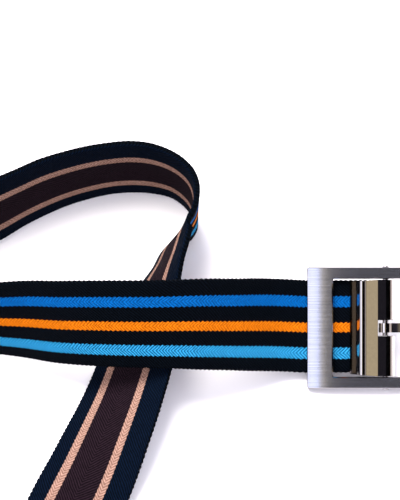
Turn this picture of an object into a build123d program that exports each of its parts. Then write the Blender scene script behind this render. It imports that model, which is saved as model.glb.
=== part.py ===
from build123d import *
import math
import os

# A striped web belt with a clamp buckle, laid on a table: the buckle leg, a loop
# to the left, a back leg, a tight turn, the crossing under the buckle leg and a
# free end folded twice. Millimetres, +Z up, the table is Z = 0 and the origin is
# the middle of the belt's footprint.

# Webbing
WEB_WIDTH = 38.0
WEB_THICK = 2.5

# Buckle, in its own frame: u along the belt, v across it, w out of the striped
# face. u = v = 0 on the pivot axis, w = 0 at the middle of the webbing. The webbing
# lies a little off the middle of the buckle, towards +v.
BUCKLE_PIVOT = (75.7, -44.2, 13.1)
BUCKLE_TILT = 30.0
WEB_OFFSET = 0.6
FRAME_LENGTH = 66.0
FRAME_MIDDLE = 0.9
FRAME_WIDTH = 49.4
FRAME_CORNER = 0.9
FRAME_BOTTOM = -1.0
FRAME_CROWN = 4.6
FRAME_END_TOP = 2.5
FRAME_HAUNCH = (4.0, 3.8)
FRAME_SHOULDER = (11.0, 4.5)
FRAME_EDGE = 0.5
FRAME_EDGE_DROP = 0.35
WINDOW_WIDTH = 39.9
WINDOW_CORNER = 0.6
KEEPER_BAR = 10.5
PRONG_BAR = 7.0
BAR_UNDERSIDE = 1.8
PIVOT_HEIGHT = 0.9
PIN_RADIUS = 1.3
PIN_FIT = 0.03
RUNNING_FIT = 0.05
PIN_LENGTH = FRAME_WIDTH + 1.2
PIN_EDGE = 0.4

# Clamp
BARREL_RADIUS = 3.75
BARREL_LENGTH = 39.3
SLOT_WIDTH = 6.3
SLOT_START = -3.3
SLOT_EDGE = 0.2
CLAMP_MOUTH = -14.6
CLAMP_REAR = -3.4
MOUTH_WIDTH = 37.6
LIP_THICK = 0.3
BEAD_START = (-11.1, 5.9)
BEAD_TOP = (-9.8, 6.6)
BEAD_END = (-8.4, 6.2)
STEP_FOOT = (-8.1, 4.9)
CLAMP_REAR_TOP = 5.5
PLATE_UNDERSIDE = 1.7
CHEEK_THICK = 1.0
CHEEK_START = -5.9
CHEEK_END = -1.5
CHEEK_BOTTOM = -3.0
CHEEK_TOP = 2.1
JAW_TOP = -1.85
JAW_THICK = 1.0
JAW_WIDTH = 36.6
JAW_PIVOT = (-4.6, -2.0)
JAW_KNUCKLE = 1.1
JAW_PIN_RADIUS = 0.7
JAW_PIN_LENGTH = 39.0
JAW_SHORTER = 0.2
TOOTH_COUNT = 4
TOOTH_FIRST = CLAMP_MOUTH + 1.0
TOOTH_PITCH = 1.2
TOOTH_HALF = 0.5
TOOTH_ROOT = -0.2
TOOTH_HEIGHT = 0.3
WEB_END = -6.2
WEB_STATIONS = [WEB_END, WEB_END - 8, WEB_END - 17]

# Prong
PRONG_WIDTH = 3.8
PRONG_EYE = 2.9
PRONG_THICK = 2.1
PRONG_BACK = [(8, 2.2), (18, 4.2), (27, 5.9)]
PRONG_BELLY = [(27, 4.3), (18, 2.2), (8, 0.2)]
PRONG_TIP_TOP = (35.0, 5.8)
PRONG_TIP_LOW = (35.0, 4.6)
PRONG_TIP_CORNER = 1.52

# Free end
TIP_LENGTH = 21.0
TIP_WALL = 0.5
TIP_CORNER = 3.0
TIP_EDGE = 0.4
CAVITY_PLAY = 0.15
EYELET_COUNT = 5
EYELET_PITCH = 18.0
EYELET_FIRST = 30.0
EYELET_HOLE = 2.5
EYELET_BARREL = 2.8
EYELET_FLANGE = 4.5
FLANGE_THICK = 0.5
FLANGE_PLAY = 0.05
FLANGE_EDGE = 0.225
HOLE_PLAY = 0.05

# Moves the belt so that the origin is the middle of its footprint.
FOOTPRINT_SHIFT = (22.5, 148.9)

# Longer than any piece that it cuts through.
THROUGH = 40.0

# The middle of the webbing where it lies: x, y, z and the lean of its width from
# the level, in degrees. 90 stands on edge and 180 lies with the reverse side up.
LAID_ROUTE = [
    (43.0, -43.7, 13.4, 30),
    (31.0, -45.5, 17.8, 40),
    (14.0, -51.2, 28.6, 48),
    (-5.0, -55.8, 37.2, 49),
    (-22.5, -56.4, 38.2, 52),
    (-40.0, -54.3, 34.9, 56),
    (-56.5, -51.1, 30.0, 61),
    (-71.5, -47.3, 25.2, 67),
    (-86.0, -45.0, 21.9, 73),
    (-100.0, -44.0, 20.6, 79),
    (-114.0, -42.8, 20.3, 86),
    (-126.0, -37.0, 20.2, 90),
    (-131.0, -25.5, 20.2, 91),
    (-126.0, -14.0, 20.2, 93),
    (-115.5, -6.8, 20.3, 96),
    (-104.5, -2.2, 20.4, 99),
    (-93.4, 2.3, 20.4, 100),
    (-83.8, 7.7, 20.4, 99),
    (-74.6, 13.3, 20.3, 96),
    (-65.4, 18.4, 20.3, 95),
    (-56.0, 22.5, 20.2, 93),
    (-46.7, 25.5, 20.2, 92),
    (-37.6, 27.5, 20.2, 91),
    (-28.9, 28.3, 20.2, 91),
    (-20.4, 27.6, 20.1, 90),
    (-12.5, 25.0, 20.1, 88),
    (-6.7, 20.7, 20.1, 88),
    (-2.9, 15.2, 20.1, 89),
    (-1.8, 8.0, 20.1, 92),
    (-4.2, 0.6, 19.8, 99),
    (-9.2, -5.4, 19.2, 110),
    (-12.4, -14.5, 19.0, 114),
    (-15.6, -22.4, 18.4, 119),
    (-18.8, -30.8, 17.4, 127),
    (-22.0, -41.3, 15.2, 139),
    (-25.2, -55.6, 11.8, 147),
    (-30.4, -72.6, 9.8, 153),
    (-36.8, -90.3, 8.8, 161),
    (-43.2, -105.6, 5.4, 171),
]

# The folded free end in its upright plane: the run from the fold line's start and
# the height of the middle of the webbing.
FREE_END_START = (-49.4, -118.6)
FREE_END_HEADING = (-0.41, -0.912)
FREE_END_PROFILE = [
    (0.0, 2.2),
    (14.0, 1.5),
    (36.0, 1.4),
    (66.0, 1.4),
    (100.0, 1.4),
    (134.0, 1.4),
    (166.0, 1.4),
    (190.0, 1.5),
    (206.0, 2.2),
    (216.5, 5.2),
    (219.5, 9.8),
    (215.0, 13.6),
    (206.0, 14.6),
    (194.0, 12.8),
    (180.0, 9.2),
    (166.0, 6.4),
    (150.0, 4.9),
    (132.0, 4.5),
    (108.0, 4.5),
    (84.0, 4.5),
    (66.0, 4.5),
    (52.0, 4.9),
    (40.0, 6.2),
    (31.0, 8.8),
    (26.2, 12.6),
    (27.4, 16.6),
    (32.4, 19.0),
]
# The last stretch is straight, so that the eyelets lie flat on it.
EYELET_STRETCH = ((38.5, 19.3), (160.0, 9.6))
EYELET_SPANS = 9
STEPS_PER_SPAN = 8


def write(name, shape):
    export_step(shape.moved(Location((*FOOTPRINT_SHIFT, 0))), f"parts/{name}.step")


# ---- the belt's route ----


def straight_stations():
    """Buckle stretch of the webbing: straight, in the plane of the buckle."""
    lean = math.radians(BUCKLE_TILT)
    across = Vector(0, math.cos(lean), math.sin(lean))
    middle = Vector(*BUCKLE_PIVOT) + across * WEB_OFFSET
    return [(middle + Vector(u, 0, 0), across) for u in WEB_STATIONS]


def laid_stations():
    """Points and across directions of the laid stretch, from its leans."""
    points = [Vector(*row[:3]) for row in LAID_ROUTE]
    before = [Vector(*BUCKLE_PIVOT)] + points[:-1]
    after = points[1:] + [Vector(*FREE_END_START, 0)]
    stations = []
    for row, point, last, following in zip(LAID_ROUTE, points, before, after):
        heading = Vector(following.X - last.X, following.Y - last.Y, 0).normalized()
        right = Vector(heading.Y, -heading.X, 0)
        lean = math.radians(row[3])
        stations.append((point, right * math.cos(lean) + Vector(0, 0, 1) * math.sin(lean)))
    return stations


def folded_stations():
    """Points of the folded free end, which bends in one upright plane."""
    heading = Vector(*FREE_END_HEADING, 0).normalized()
    across = Vector(-heading.Y, heading.X, 0)
    start = Vector(*FREE_END_START, 0)
    (near_run, near_up), (far_run, far_up) = EYELET_STRETCH
    shares = [i / EYELET_SPANS for i in range(EYELET_SPANS + 1)]
    straight = [
        (near_run + (far_run - near_run) * share, near_up + (far_up - near_up) * share)
        for share in shares
    ]
    profile = FREE_END_PROFILE + straight
    return [(start + heading * run + Vector(0, 0, up), across) for run, up in profile]


def between(a, b, c, d, t):
    """Smooth curve from b to c, with the slopes of a-c and b-d."""
    slope_b = (c - a) * 0.5
    slope_c = (d - b) * 0.5
    rest = (b * 2 + slope_b - c * 2 + slope_c) * t**3
    rest += (c * 3 - b * 3 - slope_b * 2 - slope_c) * t**2
    return b + slope_b * t + rest


def belt_line():
    """Close points along the belt: middle, across direction and distance."""
    stations = straight_stations() + laid_stations() + folded_stations()
    points = [p for p, _ in stations]
    acrosses = [a for _, a in stations]
    points = [points[0] * 2 - points[1]] + points + [points[-1] * 2 - points[-2]]
    acrosses = [acrosses[0]] + acrosses + [acrosses[-1]]
    line = []
    for i in range(len(points) - 3):
        for step in range(STEPS_PER_SPAN):
            t = step / STEPS_PER_SPAN
            line.append((between(*points[i : i + 4], t), between(*acrosses[i : i + 4], t)))
    line.append((points[-2], acrosses[-2]))
    return line


def section_planes(line):
    """A plane square to the belt at every point, with x across and z forward."""
    planes = []
    for i, (point, across) in enumerate(line):
        forward = line[min(i + 1, len(line) - 1)][0] - line[max(i - 1, 0)][0]
        forward = forward.normalized()
        across = across - forward * across.dot(forward)
        planes.append(Plane(origin=point, x_dir=across, z_dir=forward))
    return planes


def plane_from_end(planes, distance):
    """Section plane at a distance from the free end's cut edge."""
    gone = 0.0
    for i in range(len(planes) - 1, 0, -1):
        gone += (planes[i].origin - planes[i - 1].origin).length
        if gone >= distance:
            return planes[i - 1]
    return planes[0]


LINE = belt_line()
PLANES = section_planes(LINE)
EYELET_PLANES = [
    plane_from_end(PLANES, EYELET_FIRST + EYELET_PITCH * i) for i in range(EYELET_COUNT)
]


def on_face(plane):
    """Plane with z out of the striped face and x along the belt."""
    return Plane(origin=plane.origin, x_dir=plane.z_dir, z_dir=plane.x_dir.cross(plane.z_dir))


# ---- webbing and free end ----


def webbing():
    keep = range(0, len(PLANES), STEPS_PER_SPAN // 2)
    sections = [PLANES[i] * Rectangle(WEB_WIDTH, WEB_THICK) for i in keep]
    web = loft(sections)
    end_face = web.faces().sort_by_distance(PLANES[-1].origin)[0]
    corners = end_face.edges().filter_by(lambda edge: edge.length < 2 * WEB_THICK)
    web = fillet(corners, TIP_CORNER)
    for plane in EYELET_PLANES:
        web -= on_face(plane) * Cylinder(EYELET_BARREL + HOLE_PLAY, 4 * WEB_THICK)
    return web


def belt_tip():
    """Folded metal shell over the cut edge, with rounded outer corners."""
    end = PLANES[-1]
    inside = (WEB_WIDTH + 2 * CAVITY_PLAY, TIP_LENGTH, WEB_THICK + 2 * CAVITY_PLAY)
    outside = (inside[0] + 2 * TIP_WALL, TIP_LENGTH + TIP_WALL, inside[2] + 2 * TIP_WALL)
    low = (Align.CENTER, Align.MIN, Align.CENTER)
    high = (Align.CENTER, Align.MAX, Align.CENTER)
    shell = Pos(0, TIP_WALL + CAVITY_PLAY, 0) * Box(*outside, align=high)
    shell = fillet(shell.edges().filter_by(Axis.Z).group_by(Axis.Y)[-1], TIP_CORNER)
    shell = fillet(shell.faces().sort_by(Axis.Z)[-1].edges(), TIP_EDGE)
    shell = fillet(shell.faces().sort_by(Axis.Z)[0].edges(), TIP_EDGE)
    pocket = Pos(0, CAVITY_PLAY, 0) * Box(inside[0], inside[1] * 2, inside[2], align=high)
    pocket = fillet(pocket.edges().filter_by(Axis.Z).group_by(Axis.Y)[-1], TIP_CORNER)
    lay = Plane(origin=end.origin, x_dir=end.x_dir, z_dir=end.x_dir.cross(end.z_dir))
    return lay * (shell - pocket)


def ring(outer, inner, height):
    return Cylinder(outer, height) - Cylinder(inner, height * 2)


def eyelet():
    """Flange on the striped face and a barrel through the webbing."""
    top = WEB_THICK / 2 + FLANGE_PLAY
    flange = Pos(0, 0, top + FLANGE_THICK / 2) * ring(EYELET_FLANGE, EYELET_HOLE, FLANGE_THICK)
    flange = fillet(flange.edges().group_by(Axis.Z)[-1], FLANGE_EDGE)
    barrel = ring(EYELET_BARREL, EYELET_HOLE, WEB_THICK + 2 * FLANGE_PLAY)
    return flange + barrel


def eyelet_washer():
    """Back ring that the eyelet's barrel is rolled over."""
    low = -WEB_THICK / 2 - FLANGE_PLAY - FLANGE_THICK / 2
    disc = Pos(0, 0, low) * ring(EYELET_FLANGE, EYELET_HOLE, FLANGE_THICK)
    return fillet(disc.edges().group_by(Axis.Z)[0], FLANGE_EDGE)


def repeat_at_eyelets(piece):
    return Compound(children=[on_face(plane) * piece for plane in EYELET_PLANES])


# ---- buckle, in its own frame ----


def along_v(radius, length):
    return Rot(90, 0, 0) * Cylinder(radius, length)


def at_uw(u, w):
    return Pos(u, 0, w)


def frame_side():
    """Side outline of the frame: a flat crown that rolls down to both ends."""
    half = FRAME_LENGTH / 2
    shoulder, shoulder_top = half - FRAME_SHOULDER[0], FRAME_SHOULDER[1]
    haunch, haunch_top = half - FRAME_HAUNCH[0], FRAME_HAUNCH[1]
    low = Polyline(
        (half, FRAME_END_TOP),
        (half, FRAME_BOTTOM),
        (-half, FRAME_BOTTOM),
        (-half, FRAME_END_TOP),
    )
    crown = Spline(
        (-half, FRAME_END_TOP),
        (-haunch, haunch_top),
        (-shoulder, shoulder_top),
        (0, FRAME_CROWN),
        (shoulder, shoulder_top),
        (haunch, haunch_top),
        (half, FRAME_END_TOP),
    )
    return make_face(Plane.XZ * (Curve() + [low, crown]))


def buckle_frame():
    """Cast frame: rolled side profile, rounded plan, belt passage under both bars."""
    body = extrude(frame_side(), FRAME_WIDTH / 2, both=True)
    plan = RectangleRounded(FRAME_LENGTH, FRAME_WIDTH, FRAME_CORNER)
    window_length = FRAME_LENGTH - KEEPER_BAR - PRONG_BAR
    window = RectangleRounded(window_length, WINDOW_WIDTH, WINDOW_CORNER)
    window = Pos((KEEPER_BAR - PRONG_BAR) / 2, 0, 0) * window
    body = (body & extrude(plan, THROUGH, both=True)) - extrude(window, THROUGH, both=True)
    top = body.faces().sort_by(Axis.Z)[-1]
    body = chamfer(top.edges(), FRAME_EDGE, FRAME_EDGE_DROP)
    low = (Align.CENTER, Align.CENTER, Align.MAX)
    passage = Box(FRAME_LENGTH * 2, WINDOW_WIDTH, THROUGH, align=low)
    body -= Pos(0, 0, BAR_UNDERSIDE) * passage
    body = Pos(FRAME_MIDDLE, 0, 0) * body
    return body - at_uw(0, PIVOT_HEIGHT) * along_v(PIN_RADIUS + PIN_FIT, FRAME_WIDTH * 2)


def pivot_pin():
    pin = at_uw(0, PIVOT_HEIGHT) * along_v(PIN_RADIUS, PIN_LENGTH)
    return fillet(pin.edges().filter_by(GeomType.CIRCLE), PIN_EDGE)


def clamp_plate():
    """Top of the clamp: steep front, rounded bead, a small step and a flat to the barrel."""
    lip = PLATE_UNDERSIDE + LIP_THICK
    outline = Curve() + [
        Polyline((CLAMP_REAR, PLATE_UNDERSIDE), (CLAMP_MOUTH, PLATE_UNDERSIDE), (CLAMP_MOUTH, lip)),
        Line((CLAMP_MOUTH, lip), BEAD_START),
        ThreePointArc(BEAD_START, BEAD_TOP, BEAD_END),
        Polyline(BEAD_END, STEP_FOOT, (CLAMP_REAR, CLAMP_REAR_TOP), (CLAMP_REAR, PLATE_UNDERSIDE)),
    ]
    plate = extrude(make_face(Plane.XZ * outline), BARREL_LENGTH / 2, both=True)
    low = (Align.MIN, Align.CENTER, Align.MIN)
    neck_height = PIVOT_HEIGHT + BARREL_RADIUS - PLATE_UNDERSIDE
    neck = Box(-CLAMP_REAR, BARREL_LENGTH, neck_height, align=low)
    return plate + Pos(CLAMP_REAR, 0, PLATE_UNDERSIDE) * neck


def clamp_cheeks():
    low = (Align.MIN, Align.CENTER, Align.MIN)
    block = Box(CHEEK_END - CHEEK_START, CHEEK_THICK, CHEEK_TOP - CHEEK_BOTTOM, align=low)
    side = (BARREL_LENGTH - CHEEK_THICK) / 2
    far = Pos(CHEEK_START, side, CHEEK_BOTTOM) * block
    near = Pos(CHEEK_START, -side, CHEEK_BOTTOM) * block
    return far + near


def clamp_body():
    """Plate, barrel and two cheeks in one piece, narrower at the mouth."""
    barrel = at_uw(0, PIVOT_HEIGHT) * along_v(BARREL_RADIUS, BARREL_LENGTH)
    body = clamp_plate() + clamp_cheeks() + barrel
    half_mouth = MOUTH_WIDTH / 2
    half_rear = BARREL_LENGTH / 2
    plan = Polyline(
        (CLAMP_MOUTH, -half_mouth),
        (CLAMP_REAR, -half_rear),
        (BARREL_RADIUS + 1, -half_rear),
        (BARREL_RADIUS + 1, half_rear),
        (CLAMP_REAR, half_rear),
        (CLAMP_MOUTH, half_mouth),
        close=True,
    )
    body &= extrude(make_face(plan), THROUGH, both=True)
    slot = Box(THROUGH, SLOT_WIDTH, THROUGH, align=(Align.MIN, Align.CENTER, Align.CENTER))
    body -= Pos(SLOT_START, 0, 0) * slot
    walls = [e for e in body.edges() if abs(abs(e.center().Y) - SLOT_WIDTH / 2) < 0.01]
    body = chamfer([e for e in walls if e.length > 4 * BARREL_RADIUS], SLOT_EDGE)
    body -= at_uw(0, PIVOT_HEIGHT) * along_v(PIN_RADIUS + RUNNING_FIT, BARREL_LENGTH * 2)
    return body - at_uw(*JAW_PIVOT) * along_v(JAW_PIN_RADIUS + PIN_FIT, BARREL_LENGTH * 2)


def clamp_jaw():
    """Toothed lower plate with a knuckle round its pin."""
    length = JAW_PIVOT[0] - CLAMP_MOUTH - JAW_SHORTER
    plate = Box(length, JAW_WIDTH, JAW_THICK, align=(Align.MAX, Align.CENTER, Align.MAX))
    jaw = Pos(JAW_PIVOT[0], 0, JAW_TOP) * plate
    jaw += at_uw(*JAW_PIVOT) * along_v(JAW_KNUCKLE, JAW_WIDTH)
    wedge = Polyline(
        (-TOOTH_HALF, TOOTH_ROOT), (TOOTH_HALF, TOOTH_ROOT), (0, TOOTH_HEIGHT), close=True
    )
    tooth = extrude(make_face(Plane.XZ * wedge), JAW_WIDTH / 2, both=True)
    for i in range(TOOTH_COUNT):
        jaw += Pos(TOOTH_FIRST + TOOTH_PITCH * i, 0, JAW_TOP) * tooth
    return jaw - at_uw(*JAW_PIVOT) * along_v(JAW_PIN_RADIUS + RUNNING_FIT, BARREL_LENGTH)


def jaw_pin():
    return at_uw(*JAW_PIVOT) * along_v(JAW_PIN_RADIUS, JAW_PIN_LENGTH)


def prong():
    """Eye round the pivot pin and a tongue that rests on the far bar."""
    root_top = (0, PIVOT_HEIGHT + PRONG_THICK / 2)
    root_low = (0, PIVOT_HEIGHT - PRONG_THICK / 2)
    top = Spline(root_top, *PRONG_BACK, PRONG_TIP_TOP)
    tip = Line(PRONG_TIP_TOP, PRONG_TIP_LOW)
    under = Spline(PRONG_TIP_LOW, *PRONG_BELLY, root_low)
    root = Line(root_low, root_top)
    outline = Plane.XZ * (Curve() + [top, tip, under, root])
    tongue = extrude(make_face(outline), PRONG_WIDTH / 2, both=True)
    corners = tongue.edges().filter_by(Axis.Z).group_by(Axis.X)[-1]
    tongue = fillet(corners, PRONG_TIP_CORNER)
    tongue += at_uw(0, PIVOT_HEIGHT) * along_v(PRONG_EYE, PRONG_WIDTH)
    return tongue - at_uw(0, PIVOT_HEIGHT) * along_v(PIN_RADIUS + RUNNING_FIT, PRONG_WIDTH * 2)


def in_buckle(shape):
    """Places a piece of the buckle where the buckle lies."""
    tilt = math.radians(BUCKLE_TILT)
    outward = (0, -math.sin(tilt), math.cos(tilt))
    return Plane(origin=BUCKLE_PIVOT, x_dir=(1, 0, 0), z_dir=outward) * shape


os.makedirs("parts", exist_ok=True)
write("webbing", webbing())
write("belt_tip", belt_tip())
write("eyelets", repeat_at_eyelets(eyelet()))
write("eyelet_washers", repeat_at_eyelets(eyelet_washer()))
write("buckle_frame", in_buckle(buckle_frame()))
write("pivot_pin", in_buckle(pivot_pin()))
write("clamp_body", in_buckle(clamp_body()))
write("clamp_jaw", in_buckle(clamp_jaw()))
write("jaw_pin", in_buckle(jaw_pin()))
write("prong", in_buckle(prong()))

belt_length = sum((b.origin - a.origin).length for a, b in zip(PLANES, PLANES[1:]))
print("webbing length", round(belt_length))
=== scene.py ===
import bisect
import math

import bmesh
import bpy
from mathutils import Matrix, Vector


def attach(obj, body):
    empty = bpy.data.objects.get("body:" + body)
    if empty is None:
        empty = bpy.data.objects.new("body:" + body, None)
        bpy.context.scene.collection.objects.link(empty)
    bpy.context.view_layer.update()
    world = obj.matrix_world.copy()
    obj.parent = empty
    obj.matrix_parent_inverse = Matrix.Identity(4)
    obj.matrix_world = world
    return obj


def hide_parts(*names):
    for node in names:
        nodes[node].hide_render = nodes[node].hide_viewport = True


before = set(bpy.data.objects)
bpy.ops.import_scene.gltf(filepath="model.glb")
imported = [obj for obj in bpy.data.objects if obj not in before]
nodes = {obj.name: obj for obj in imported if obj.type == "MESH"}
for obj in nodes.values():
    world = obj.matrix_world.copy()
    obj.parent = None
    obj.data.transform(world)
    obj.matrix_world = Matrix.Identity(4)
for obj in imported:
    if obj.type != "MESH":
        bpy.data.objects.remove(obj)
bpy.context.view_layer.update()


# ---- Webbing ----
# One length of 38 mm web belt, woven in polyester as two cloths bound back to back:
# navy with three coloured stripes on the face, brown and tan with navy borders on the
# reverse. One cut end is bitten by the buckle's clamp, and the other wears the tip.

MM = 0.001
WEB_WIDTH = 38 * MM
WEB_THICK = 2.5 * MM
EDGE_ROUND = 0.9 * MM
EDGE_SEGMENTS = 3
RIM_FROM = 0.499 * WEB_WIDTH
CREASE = math.radians(50)
REVERSE_FACES = -0.5

# The weft turns back at each edge once a rib, which gives every edge its teeth.
RIB = 2 * MM
RIB_ROWS = 4
RIB_DEPTH = 0.35 * MM
RIB_REACH = 1.6 * MM
COLUMNS = 12

EYELET_COUNT = 5
EYELET_PITCH = 18 * MM
EYELET_FIRST = 30 * MM
EYELET_CUT = 2.83 * MM
PEG_SIDES = 32

# The route of the middle of the webbing, in millimetres: x, y, z, and the lean of its
# width from the level in degrees. 90 stands on edge, 180 has the reverse side up.
FOOTPRINT_SHIFT = Vector((22.5, 148.9, 0))
BUCKLE_PIVOT = Vector((75.7, -44.2, 13.1))
BUCKLE_TILT = math.radians(30)
WEB_OFFSET = 0.6
WEB_END = -6.2
BUCKLE_SPOTS = (WEB_END, WEB_END - 8, WEB_END - 17)
LAID_ROUTE = [
    (43.0, -43.7, 13.4, 30),
    (31.0, -45.5, 17.8, 40),
    (14.0, -51.2, 28.6, 48),
    (-5.0, -55.8, 37.2, 49),
    (-22.5, -56.4, 38.2, 52),
    (-40.0, -54.3, 34.9, 56),
    (-56.5, -51.1, 30.0, 61),
    (-71.5, -47.3, 25.2, 67),
    (-86.0, -45.0, 21.9, 73),
    (-100.0, -44.0, 20.6, 79),
    (-114.0, -42.8, 20.3, 86),
    (-126.0, -37.0, 20.2, 90),
    (-131.0, -25.5, 20.2, 91),
    (-126.0, -14.0, 20.2, 93),
    (-115.5, -6.8, 20.3, 96),
    (-104.5, -2.2, 20.4, 99),
    (-93.4, 2.3, 20.4, 100),
    (-83.8, 7.7, 20.4, 99),
    (-74.6, 13.3, 20.3, 96),
    (-65.4, 18.4, 20.3, 95),
    (-56.0, 22.5, 20.2, 93),
    (-46.7, 25.5, 20.2, 92),
    (-37.6, 27.5, 20.2, 91),
    (-28.9, 28.3, 20.2, 91),
    (-20.4, 27.6, 20.1, 90),
    (-12.5, 25.0, 20.1, 88),
    (-6.7, 20.7, 20.1, 88),
    (-2.9, 15.2, 20.1, 89),
    (-1.8, 8.0, 20.1, 92),
    (-4.2, 0.6, 19.8, 99),
    (-9.2, -5.4, 19.2, 110),
    (-12.4, -14.5, 19.0, 114),
    (-15.6, -22.4, 18.4, 119),
    (-18.8, -30.8, 17.4, 127),
    (-22.0, -41.3, 15.2, 139),
    (-25.2, -55.6, 11.8, 147),
    (-30.4, -72.6, 9.8, 153),
    (-36.8, -90.3, 8.8, 161),
    (-43.2, -105.6, 5.4, 171),
]

# The folded free end bends in one upright plane: run from its start, and height.
FREE_END_START = Vector((-49.4, -118.6, 0))
FREE_END_HEADING = Vector((-0.41, -0.912, 0)).normalized()
FREE_END_PROFILE = [
    (0.0, 2.2),
    (14.0, 1.5),
    (36.0, 1.4),
    (66.0, 1.4),
    (100.0, 1.4),
    (134.0, 1.4),
    (166.0, 1.4),
    (190.0, 1.5),
    (206.0, 2.2),
    (216.5, 5.2),
    (219.5, 9.8),
    (215.0, 13.6),
    (206.0, 14.6),
    (194.0, 12.8),
    (180.0, 9.2),
    (166.0, 6.4),
    (150.0, 4.9),
    (132.0, 4.5),
    (108.0, 4.5),
    (84.0, 4.5),
    (66.0, 4.5),
    (52.0, 4.9),
    (40.0, 6.2),
    (31.0, 8.8),
    (26.2, 12.6),
    (27.4, 16.6),
    (32.4, 19.0),
]
EYELET_STRETCH = ((38.5, 19.3), (160.0, 9.6))
EYELET_SPANS = 9
STEPS_PER_SPAN = 12
UP = Vector((0, 0, 1))


def buckle_stations():
    """Middle points and across directions where the belt lies in the buckle."""
    across = Vector((0, math.cos(BUCKLE_TILT), math.sin(BUCKLE_TILT)))
    middle = BUCKLE_PIVOT + across * WEB_OFFSET
    return [(middle + Vector((spot, 0, 0)), across) for spot in BUCKLE_SPOTS]


def laid_stations():
    """The same for the stretch that lies in a loop."""
    points = [Vector(row[:3]) for row in LAID_ROUTE]
    before = [BUCKLE_PIVOT] + points[:-1]
    after = points[1:] + [FREE_END_START]
    stations = []
    for row, point, last, following in zip(LAID_ROUTE, points, before, after):
        heading = Vector((following.x - last.x, following.y - last.y, 0)).normalized()
        right = Vector((heading.y, -heading.x, 0))
        lean = math.radians(row[3])
        stations.append((point, right * math.cos(lean) + UP * math.sin(lean)))
    return stations


def folded_stations():
    """The same for the free end, whose last stretch is straight for the eyelets."""
    across = Vector((-FREE_END_HEADING.y, FREE_END_HEADING.x, 0))
    (near_run, near_up), (far_run, far_up) = EYELET_STRETCH
    shares = [i / EYELET_SPANS for i in range(EYELET_SPANS + 1)]
    straight = [
        (near_run + (far_run - near_run) * share, near_up + (far_up - near_up) * share)
        for share in shares
    ]
    profile = FREE_END_PROFILE + straight
    return [(FREE_END_START + FREE_END_HEADING * run + UP * up, across) for run, up in profile]


def between(a, b, c, d, t):
    """Smooth curve from b to c, with the slopes of a-c and b-d."""
    slope_b = (c - a) * 0.5
    slope_c = (d - b) * 0.5
    rest = (b * 2 + slope_b - c * 2 + slope_c) * t**3
    rest += (c * 3 - b * 3 - slope_b * 2 - slope_c) * t**2
    return b + slope_b * t + rest


def belt_line():
    """Close points along the belt in metres: distance, middle, across and forward."""
    stations = buckle_stations() + laid_stations() + folded_stations()
    points = [(point + FOOTPRINT_SHIFT) * MM for point, _ in stations]
    acrosses = [across for _, across in stations]
    points = [points[0] * 2 - points[1]] + points + [points[-1] * 2 - points[-2]]
    acrosses = [acrosses[0]] + acrosses + [acrosses[-1]]
    line = []
    for i in range(len(points) - 3):
        for step in range(STEPS_PER_SPAN):
            t = step / STEPS_PER_SPAN
            line.append((between(*points[i : i + 4], t), between(*acrosses[i : i + 4], t)))
    line.append((points[-2], acrosses[-2]))
    distance = 0.0
    rows = []
    for i, (point, across) in enumerate(line):
        forward = line[min(i + 1, len(line) - 1)][0] - line[max(i - 1, 0)][0]
        distance += (point - line[max(i - 1, 0)][0]).length
        rows.append((distance, point, across, forward.normalized()))
    return rows


def flat_webbing(length):
    """The webbing before it is laid: x across, y along, z out of the striped face."""
    rows = round(length / RIB * RIB_ROWS)
    bm = bmesh.new()
    bmesh.ops.create_grid(bm, x_segments=COLUMNS, y_segments=rows, size=0.5)
    bmesh.ops.scale(bm, vec=(WEB_WIDTH, length, 1), verts=bm.verts)
    bmesh.ops.translate(bm, vec=(0, length / 2, 0), verts=bm.verts)
    bmesh.ops.solidify(bm, geom=bm.faces[:], thickness=WEB_THICK)
    middle = sum(v.co.z for v in bm.verts) / len(bm.verts)
    bmesh.ops.translate(bm, vec=(0, 0, -middle), verts=bm.verts)
    rim = [
        edge
        for edge in bm.edges
        if all(abs(v.co.x) > RIM_FROM for v in edge.verts)
        and edge.verts[0].co.y != edge.verts[1].co.y
    ]
    bmesh.ops.bevel(
        bm,
        geom=rim,
        offset=EDGE_ROUND,
        segments=EDGE_SEGMENTS,
        profile=0.5,
        affect="EDGES",
        material=-1,
    )
    bmesh.ops.recalc_face_normals(bm, faces=bm.faces)
    mesh = bpy.data.meshes.new("webbing_cloth")
    bm.to_mesh(mesh)
    bm.free()
    return mesh


def eyelet_cutter(length):
    """Round pegs where the eyelet holes are punched."""
    bm = bmesh.new()
    for i in range(EYELET_COUNT):
        peg = bmesh.ops.create_cone(
            bm,
            cap_ends=True,
            segments=PEG_SIDES,
            radius1=EYELET_CUT,
            radius2=EYELET_CUT,
            depth=4 * WEB_THICK,
        )
        spot = (0, length - EYELET_FIRST - EYELET_PITCH * i, 0)
        bmesh.ops.translate(bm, vec=spot, verts=peg["verts"])
    mesh = bpy.data.meshes.new("eyelet_pegs")
    bm.to_mesh(mesh)
    bm.free()
    return mesh


def add_object(name, mesh):
    thing = bpy.data.objects.new(name, mesh)
    bpy.context.scene.collection.objects.link(thing)
    return thing


def punch(mesh, pegs):
    """The mesh with the pegs cut out of it."""
    cloth = add_object("cloth", mesh)
    cutter = add_object("cutter", pegs)
    cut = cloth.modifiers.new("holes", "BOOLEAN")
    cut.object = cutter
    cut.operation = "DIFFERENCE"
    cut.solver = "EXACT"
    graph = bpy.context.evaluated_depsgraph_get()
    punched = bpy.data.meshes.new_from_object(cloth.evaluated_get(graph))
    bpy.data.objects.remove(cloth)
    bpy.data.objects.remove(cutter)
    return punched


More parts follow.
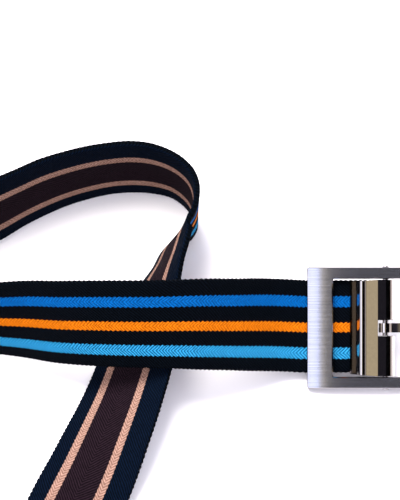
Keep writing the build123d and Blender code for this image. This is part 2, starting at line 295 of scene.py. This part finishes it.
def lay_along(mesh, line):
    """Moves the flat mesh on to the route, and keeps its flat place in an attribute."""
    place = mesh.attributes.new("flat_place", "FLOAT_VECTOR", "POINT")
    distances = [row[0] for row in line]
    for vertex, kept in zip(mesh.vertices, place.data):
        across, along, out = vertex.co
        kept.vector = vertex.co
        edge = max(0, abs(across) - WEB_WIDTH / 2 + RIB_REACH) / RIB_REACH
        tooth = RIB_DEPTH * edge * (0.5 - 0.5 * math.cos(2 * math.pi * along / RIB))
        across -= math.copysign(tooth, across)
        i = min(max(bisect.bisect(distances, along), 1), len(line) - 1)
        before, after = line[i - 1], line[i]
        share = (along - before[0]) / (after[0] - before[0])
        point, width, forward = (a.lerp(b, share) for a, b in zip(before[1:], after[1:]))
        forward.normalize()
        width = (width - forward * width.dot(forward)).normalized()
        vertex.co = point + width * across + width.cross(forward) * out


belt = belt_line()
belt_length = belt[-1][0]
cloth_mesh = punch(flat_webbing(belt_length), eyelet_cutter(belt_length))
for face in cloth_mesh.polygons:
    face.material_index = 1 if face.normal.z < REVERSE_FACES else 0
lay_along(cloth_mesh, belt)
cloth_mesh.shade_smooth()
cloth_mesh.set_sharp_from_angle(angle=CREASE)
webbing = add_object("webbing_cloth", cloth_mesh)


def linear(code):
    """sRGB hex to the linear colour that the shaders take."""
    parts = [int(code[i : i + 2], 16) / 255 for i in (1, 3, 5)]
    return (*[c / 12.92 if c < 0.04045 else ((c + 0.055) / 1.055) ** 2.4 for c in parts], 1)


def add_node(tree, kind, inputs=None, **settings):
    """Adds a node with its settings. An input that is a socket is linked."""
    node = tree.nodes.new(kind)
    for name, value in settings.items():
        setattr(node, name, value)
    for name, value in (inputs or {}).items():
        if isinstance(value, bpy.types.NodeSocket):
            tree.links.new(value, node.inputs[name])
        else:
            node.inputs[name].default_value = value
    return node


def maths(tree, operation, *values, **settings):
    """Adds a Math node and gives its result."""
    inputs = dict(enumerate(values))
    return add_node(tree, "ShaderNodeMath", inputs, operation=operation, **settings).outputs[0]


# A Mix node's first colour or number among its inputs, and its result.
MIX_SOCKETS = {"RGBA": (6, 2), "FLOAT": (2, 0)}


def mixed(tree, share, low, high, kind="RGBA"):
    """Adds a Mix node for two colours, or for two numbers, and gives its result."""
    first, result = MIX_SOCKETS[kind]
    inputs = {0: share, first: low, first + 1: high}
    return add_node(tree, "ShaderNodeMix", inputs, data_type=kind).outputs[result]


def noise(tree, place, grain, detail):
    """Adds a noise texture with grains of a size in metres and gives its value."""
    inputs = {"Vector": place, "Scale": 1 / grain, "Detail": detail}
    return add_node(tree, "ShaderNodeTexNoise", inputs).outputs[0]


def dot(tree, direction, other):
    inputs = {0: direction, 1: other}
    return add_node(tree, "ShaderNodeVectorMath", inputs, operation="DOT_PRODUCT").outputs["Value"]


def new_material(name):
    material = bpy.data.materials.new(name)
    material.use_nodes = True
    material.node_tree.nodes.clear()
    return material, material.node_tree


# Stripes: middle and half width, in metres from the middle of the webbing towards the
# edge that is uppermost in the buckle, then the yarn's light and dark shade.
FACE_STRIPES = [
    (10.05 * MM, 2.2 * MM, "#04579E", "#023E74"),
    (-0.44 * MM, 1.92 * MM, "#C66A0D", "#A04E04"),
    (-10.96 * MM, 2.3 * MM, "#2E90C0", "#08466A"),
]
REVERSE_STRIPES = [
    (-1.52 * MM, 9.1 * MM, "#21161D", "#0B060A"),
    (7.41 * MM, 1.71 * MM, "#A07E70", "#725448"),
    (-10.45 * MM, 1.71 * MM, "#A07E70", "#725448"),
]
FACE_GROUND = ("#04080F", "#010204")
REVERSE_GROUND = ("#050F20", "#020509")
STRIPE_TOOTH = 0.2 * MM
STRIPE_SOFT = 0.22 * MM
TWILL = 1.35 * MM
SLIP = 6 * MM
FUZZ = 0.9 * MM
FUZZ_SHADE = (0.45, 1.6)
YARN_BUMP = 0.2 * MM
YARN_STRENGTH = 0.8
CLOTH_ROUGHNESS = 0.85
CLOTH_GLOSS = 0.02


def woven(name, ground, stripes, tooth):
    """Polyester webbing: matt twill whose stripes meet the ground in rounded teeth."""
    material, tree = new_material(name)
    place = add_node(tree, "ShaderNodeAttribute", attribute_name="flat_place").outputs["Vector"]
    split = add_node(tree, "ShaderNodeSeparateXYZ", {0: place})
    across, along = split.outputs[0], split.outputs[1]
    wave = maths(tree, "COSINE", maths(tree, "MULTIPLY", along, 2 * math.pi / RIB))
    teeth = maths(tree, "MULTIPLY", wave, tooth)
    slip = noise(tree, place, SLIP, 1.0)
    steps = maths(tree, "MULTIPLY_ADD", along, 1 / TWILL, slip)

    def twill(sideways):
        """Diagonal ridges from 0 to 1 that climb with the sideways distance."""
        turns = maths(tree, "MULTIPLY_ADD", *sideways, steps)
        ridge = maths(tree, "SINE", maths(tree, "MULTIPLY", turns, 2 * math.pi))
        return maths(tree, "MULTIPLY_ADD", ridge, 0.5, 0.5)

    height = twill((across, -1 / TWILL))
    light, dark = ground
    colour = mixed(tree, height, linear(dark), linear(light))
    for middle, half, light, dark in stripes:
        away = maths(tree, "ABSOLUTE", maths(tree, "SUBTRACT", across, middle))
        inside = maths(tree, "ADD", maths(tree, "SUBTRACT", half, away), teeth)
        mask = maths(tree, "MULTIPLY_ADD", inside, 1 / STRIPE_SOFT, 0.5, use_clamp=True)
        ridge = twill((away, 1 / TWILL))
        yarn = mixed(tree, ridge, linear(dark), linear(light))
        colour = mixed(tree, mask, colour, yarn)
        height = mixed(tree, mask, height, ridge, "FLOAT")
    fuzz = noise(tree, place, FUZZ, 3.0)
    darkest, lightest = FUZZ_SHADE
    uneven = add_node(
        tree, "ShaderNodeMapRange", {"Value": fuzz, "To Min": darkest, "To Max": lightest}
    )
    yarns = add_node(
        tree, "ShaderNodeVectorMath", {0: colour, "Scale": uneven.outputs[0]}, operation="SCALE"
    )
    bump = add_node(
        tree,
        "ShaderNodeBump",
        {
            "Height": maths(tree, "ADD", fuzz, height),
            "Distance": YARN_BUMP,
            "Strength": YARN_STRENGTH,
        },
    )
    cloth = add_node(
        tree,
        "ShaderNodeBsdfPrincipled",
        {
            "Base Color": yarns.outputs[0],
            "Roughness": CLOTH_ROUGHNESS,
            "Specular IOR Level": CLOTH_GLOSS,
            "Normal": bump.outputs[0],
        },
    )
    add_node(tree, "ShaderNodeOutputMaterial", {"Surface": cloth.outputs[0]})
    return material


striped = woven("woven_polyester_striped", FACE_GROUND, FACE_STRIPES, STRIPE_TOOTH)
reverse = woven("woven_polyester_reverse", REVERSE_GROUND, REVERSE_STRIPES, STRIPE_TOOTH / 2)
cloth_mesh.materials.append(striped)
cloth_mesh.materials.append(reverse)
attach(webbing, "strap")
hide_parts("webbing")


# ---- Buckle frame and its pin ----
# A zinc casting, ground along the belt to a brushed face and then polished on its
# chamfers and walls, whose darker base colour is painted shade. The pin through both
# side rails is plain plated steel.

PIVOT_PLACE = (BUCKLE_PIVOT + FOOTPRINT_SHIFT) * MM
FACE_OUT = (0, -math.sin(BUCKLE_TILT), math.cos(BUCKLE_TILT))
BRUSHED_ABOVE = 0.90
BRUSHED_DARK = "#A9AFC4"
BRUSHED_LIGHT = "#EEF1FF"
BRUSHED_ROUGHNESS = 0.22
# Painted shade: the polished chamfers and walls get this darker base colour so that they read as a
# dark outline round the frame.
POLISHED_PAINTED_SHADE = "#8E8A90"
POLISHED_ROUGHNESS = 0.07
GRAIN_WIDTH = 0.55 * MM
GRAIN_LENGTH = 30 * MM
GRAIN_DEPTH = 0.02 * MM


def metal(material, tree, colour, roughness, bump):
    """Ends a material's nodes as bare metal."""
    inputs = {
        "Base Color": colour,
        "Metallic": 1.0,
        "Roughness": roughness,
        "Normal": bump.outputs[0],
    }
    surface = add_node(tree, "ShaderNodeBsdfPrincipled", inputs)
    add_node(tree, "ShaderNodeOutputMaterial", {"Surface": surface.outputs[0]})
    return material


def brushed_casting():
    """Brushed nickel face with glossy polished edges, whose darker base colour is painted shade;
    the grain is drawn coarser than real.
    """
    material, tree = new_material("brushed_nickel_casting")
    where = add_node(tree, "ShaderNodeTexCoord")
    local = add_node(
        tree,
        "ShaderNodeMapping",
        {
            "Vector": where.outputs["Object"],
            "Location": PIVOT_PLACE,
            "Rotation": (BUCKLE_TILT, 0, 0),
        },
        vector_type="TEXTURE",
    )
    stretched = add_node(
        tree,
        "ShaderNodeMapping",
        {
            "Vector": local.outputs[0],
            "Scale": (1 / GRAIN_LENGTH, 1 / GRAIN_WIDTH, 1 / GRAIN_LENGTH),
        },
    )
    grain = noise(tree, stretched.outputs[0], 1.0, 3.0)
    facing = dot(tree, where.outputs["Normal"], FACE_OUT)
    brushed = maths(tree, "GREATER_THAN", facing, BRUSHED_ABOVE)
    shade = mixed(tree, grain, linear(BRUSHED_DARK), linear(BRUSHED_LIGHT))
    # Faces that are not brushed take the darker polished colour, which is painted shade on the
    # walls and chamfers.
    colour = mixed(tree, brushed, linear(POLISHED_PAINTED_SHADE), shade)
    rough = mixed(tree, brushed, POLISHED_ROUGHNESS, BRUSHED_ROUGHNESS, "FLOAT")
    bump = add_node(
        tree, "ShaderNodeBump", {"Height": grain, "Distance": GRAIN_DEPTH, "Strength": brushed}
    )
    return metal(material, tree, colour, rough, bump)


ROUGHNESS_SPREAD = 0.4
MARK_DEPTH = 0.004 * MM


def plated(name, colour, worn, roughness, mark):
    """Plated metal with faint handling marks of a size in metres."""
    material, tree = new_material(name)
    where = add_node(tree, "ShaderNodeTexCoord").outputs["Object"]
    marks = noise(tree, where, mark, 4.0)
    shade = mixed(tree, marks, linear(worn), linear(colour))
    rough = add_node(
        tree,
        "ShaderNodeMapRange",
        {
            "Value": marks,
            "To Min": roughness * (1 - ROUGHNESS_SPREAD),
            "To Max": roughness * (1 + ROUGHNESS_SPREAD),
        },
    )
    bump = add_node(tree, "ShaderNodeBump", {"Height": marks, "Distance": MARK_DEPTH})
    return metal(material, tree, shade, rough.outputs[0], bump)


def dress(name, material):
    """Gives a CAD node its finish."""
    slots = nodes[name].material_slots
    if not slots:
        nodes[name].data.materials.append(material)
    for slot in slots:
        slot.material = material


satin_steel = plated("satin_plated_steel", "#C9C6C8", "#A09DA2", 0.22, 0.8 * MM)
dress("buckle_frame", brushed_casting())
dress("pivot_pin", satin_steel)


# ---- Clamp, jaw and prong ----
# The clamp is cast with its barrel and chromed, and its toothed jaw folds up under the
# webbing on a short pin. The prong is a chromed casting with its eye on the pivot pin.

chrome = plated("polished_chrome_plate", "#E8E4E0", "#D8D4D2", 0.05, 1.5 * MM)
for name in ("clamp_body", "prong"):
    dress(name, chrome)
for name in ("clamp_jaw", "jaw_pin"):
    dress(name, satin_steel)


# ---- Tip, eyelets and their washers ----
# The tip is folded from satin nickel sheet over the cut end. The eyelets are pressed brass,
# nickel plated, and rolled over a thin washer on the back.

nickel = plated("nickel_plated_brass", "#A59D90", "#857D72", 0.20, 1 * MM)
satin_nickel = plated("satin_nickel_sheet", "#A7A4A6", "#868388", 0.30, 0.6 * MM)
dress("belt_tip", satin_nickel)
dress("eyelets", nickel)
dress("eyelet_washers", nickel)


# ---- Table, light and camera ----
# A white table top in a pale room, with one large soft light behind on the left and a
# dark studio overhead, where the camera stands.

TABLE_SIZE = 6.0
TABLE_WHITE = "#F2F0F2"
TABLE_ROUGHNESS = 0.6


def table_top():
    bm = bmesh.new()
    bmesh.ops.create_grid(bm, x_segments=1, y_segments=1, size=TABLE_SIZE / 2)
    mesh = bpy.data.meshes.new("table_top")
    bm.to_mesh(mesh)
    bm.free()
    return add_object("table_top", mesh)


def white_laminate():
    material, tree = new_material("white_laminate")
    inputs = {"Base Color": linear(TABLE_WHITE), "Roughness": TABLE_ROUGHNESS}
    paint = add_node(tree, "ShaderNodeBsdfPrincipled", inputs)
    add_node(tree, "ShaderNodeOutputMaterial", {"Surface": paint.outputs[0]})
    return material


top = table_top()
top.data.materials.append(white_laminate())

# What the polished metal sees, by the angle from straight over the buckle's face:
# positive to the left, in degrees, with a colour and a strength.
ROOM = [
    (-180, "#F4F0F6", 0.9),
    (-85, "#FBEFF0", 0.95),
    (-68, "#F6E8E6", 0.8),
    (-60, "#6A4A38", 0.25),
    (-52, "#141014", 0.05),
    (-8, "#26222C", 0.05),
    (3, "#4E4A58", 0.4),
    (12, "#C2B294", 1.0),
    (16.5, "#C2B294", 1.0),
    (18.5, "#D6DAEE", 1.7),
    (38, "#F4F2FF", 1.6),
    (56, "#C9C6D6", 0.8),
    (80, "#4A4650", 0.2),
    (125, "#1C1A20", 0.1),
    (150, "#F4F0F6", 0.7),
    (180, "#F4F0F6", 0.9),
]
# Towards the back and the front of the buckle's face the room is one pale colour, from
# where the direction's share along its width reaches these values.
PALE_ENDS = (0.92, 0.9, 0.96, 1)
PALE_FROM = 0.5
PALE_FULL = 0.85
# What matt surfaces see.
DOME = "#F6F4FF"
DOME_STRENGTH = 1.66


def room_light():
    """World whose brightness goes by direction: dark overhead, white all round."""
    world = bpy.data.worlds.new("pale_room")
    world.use_nodes = True
    tree = world.node_tree
    tree.nodes.clear()
    direction = add_node(tree, "ShaderNodeTexCoord").outputs["Generated"]
    out = dot(tree, direction, FACE_OUT)
    left = dot(tree, direction, (-1, 0, 0))
    angle = maths(tree, "ARCTAN2", left, out)
    spot = add_node(
        tree, "ShaderNodeMapRange", {"Value": angle, "From Min": -math.pi, "From Max": math.pi}
    )
    ramp = add_node(tree, "ShaderNodeValToRGB", {0: spot.outputs[0]})
    stops = ramp.color_ramp.elements
    while len(stops) < len(ROOM):
        stops.new(0.5)
    for stop, (degrees, colour, strength) in zip(stops, ROOM):
        stop.position = degrees / 360 + 0.5
        red, green, blue, _ = linear(colour)
        stop.color = (red * strength, green * strength, blue * strength, 1)
    back = (0, math.cos(BUCKLE_TILT), math.sin(BUCKLE_TILT))
    far = maths(tree, "ABSOLUTE", dot(tree, direction, back))
    wide = add_node(
        tree,
        "ShaderNodeMapRange",
        {"Value": far, "From Min": PALE_FROM, "From Max": PALE_FULL},
        interpolation_type="SMOOTHSTEP",
    )
    room = mixed(tree, wide.outputs[0], ramp.outputs[0], PALE_ENDS)
    path = add_node(tree, "ShaderNodeLightPath")
    dome = [DOME_STRENGTH * part for part in linear(DOME)]
    seen = mixed(tree, path.outputs["Is Glossy Ray"], dome, room)
    glow = add_node(tree, "ShaderNodeBackground", {"Color": seen, "Strength": 1.0})
    add_node(tree, "ShaderNodeOutputWorld", {"Surface": glow.outputs[0]})
    return world


def soft_light(name, place, aim, size, power, colour):
    lamp = bpy.data.lights.new(name, "AREA")
    lamp.shape = "DISK"
    lamp.size = size
    lamp.energy = power
    lamp.color = linear(colour)[:3]
    holder = bpy.data.objects.new(name, lamp)
    bpy.context.scene.collection.objects.link(holder)
    holder.location = place
    holder.rotation_euler = (Vector(aim) - Vector(place)).to_track_quat("-Z", "Y").to_euler()


bpy.context.scene.world = room_light()
WINDOW_PLACE = (-0.6, 0.68, 2.15)
WINDOW_AIM = (0, 0.1, 0)
WINDOW_SIZE = 1.3
WINDOW_POWER = 88
soft_light("window", WINDOW_PLACE, WINDOW_AIM, WINDOW_SIZE, WINDOW_POWER, "#FFFBF6")

# The camera looks down steeply along the belt's width, from a distance.
LOOK_AT = Vector((0.0225, 0.1489, 0))
CAMERA_DISTANCE = 1.5
CAMERA_ELEVATION = math.radians(60)
CAMERA_LENS = 258.7
CAMERA_SENSOR = 36
CAMERA_REACH = 20
camera_data = bpy.data.cameras.new("camera")
camera_data.sensor_width = CAMERA_SENSOR
camera_data.lens = CAMERA_LENS
camera_data.clip_end = CAMERA_REACH
camera = bpy.data.objects.new("camera", camera_data)
bpy.context.scene.collection.objects.link(camera)
back_off = Vector((0, -math.cos(CAMERA_ELEVATION), math.sin(CAMERA_ELEVATION)))
camera.location = LOOK_AT + back_off * CAMERA_DISTANCE
camera.rotation_euler = (math.pi / 2 - CAMERA_ELEVATION, 0, 0)
bpy.context.scene.camera = camera
bpy.context.scene.view_settings.view_transform = "Standard"
